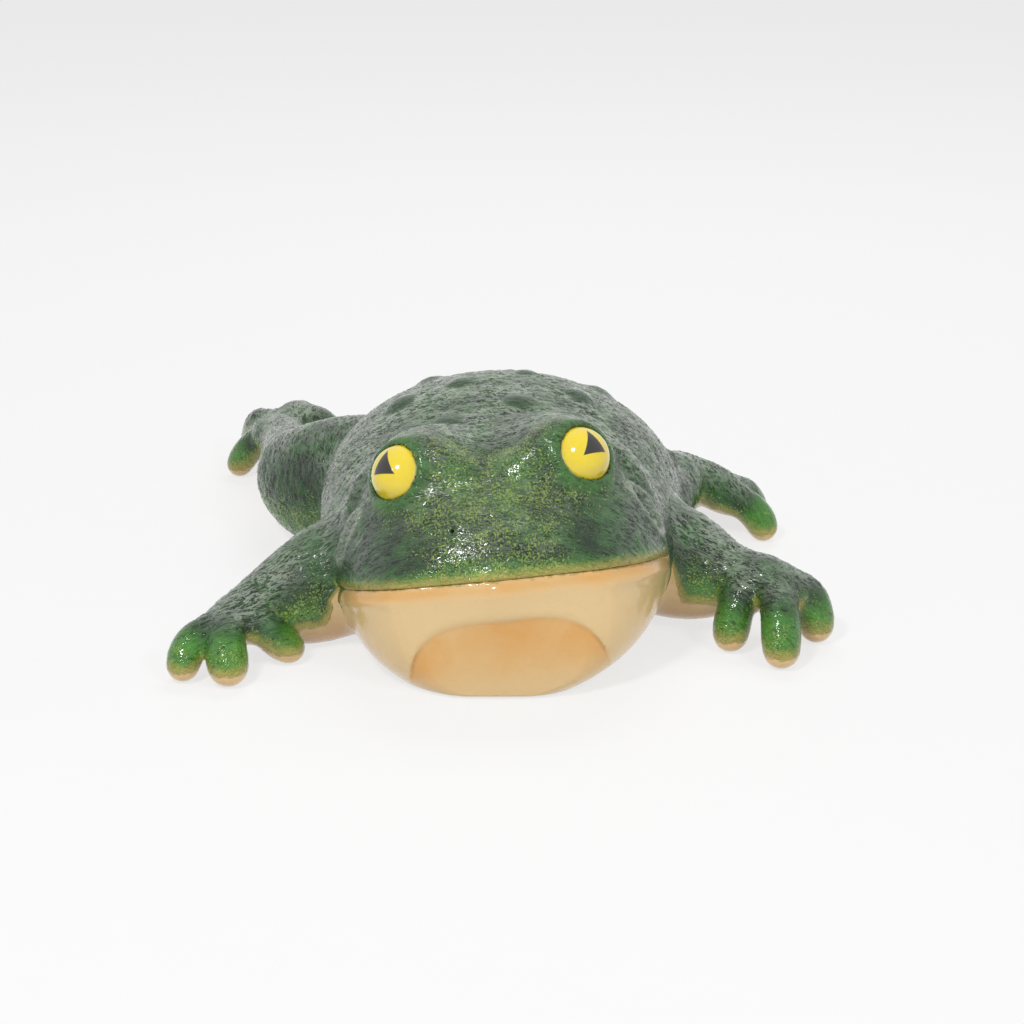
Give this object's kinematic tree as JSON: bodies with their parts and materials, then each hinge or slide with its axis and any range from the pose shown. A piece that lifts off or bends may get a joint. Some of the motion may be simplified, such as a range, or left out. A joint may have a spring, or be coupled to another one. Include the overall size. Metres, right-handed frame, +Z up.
{
  "type": "frog figurine",
  "caption": "Crawling frog garden ornament, hollow painted resin casting with bonded limbs, domed yellow eyes and a felt pad under its flat belly.",
  "frame": {"origin": "on the resting plane under the belly, below the middle of the body's widest part", "axes": "+Z up, -Y towards the snout, +X towards the frog's own left side"},
  "size_m": [0.4202, 0.4939, 0.1538],
  "materials": {
    "back_paint": "dark green paint dry-brushed with grey, under gloss varnish",
    "belly_paint": "cream paint shaded with ochre, under satin varnish",
    "eye_enamel": "yellow enamel with a black wedge pupil, high gloss",
    "limb_paint": "green paint fading to cream below, under gloss varnish",
    "dowel_steel": "plain drawn steel",
    "bonding_strip": "resin-soaked glass tape",
    "peg_plastic": "cast resin",
    "base_board": "pressed board, sealed",
    "plug_rubber": "moulded rubber",
    "felt": "brown wool felt"
  },
  "bodies": {
    "root": {"back_shell": "back_paint", "belly_shell": "belly_paint", "eye_right": "eye_enamel", "eye_left": "eye_enamel", "front_leg_right": "limb_paint", "front_leg_left": "limb_paint", "hind_leg_right": "limb_paint", "hind_leg_left": "limb_paint", "dowel_front_right": "dowel_steel", "dowel_front_left": "dowel_steel", "dowel_hind_right": "dowel_steel", "dowel_hind_left": "dowel_steel", "seam_band": "bonding_strip", "seam_pegs": "peg_plastic", "base_plate": "base_board", "vent_plug": "plug_rubber", "base_pad": "felt"}
  },
  "joints": []
}
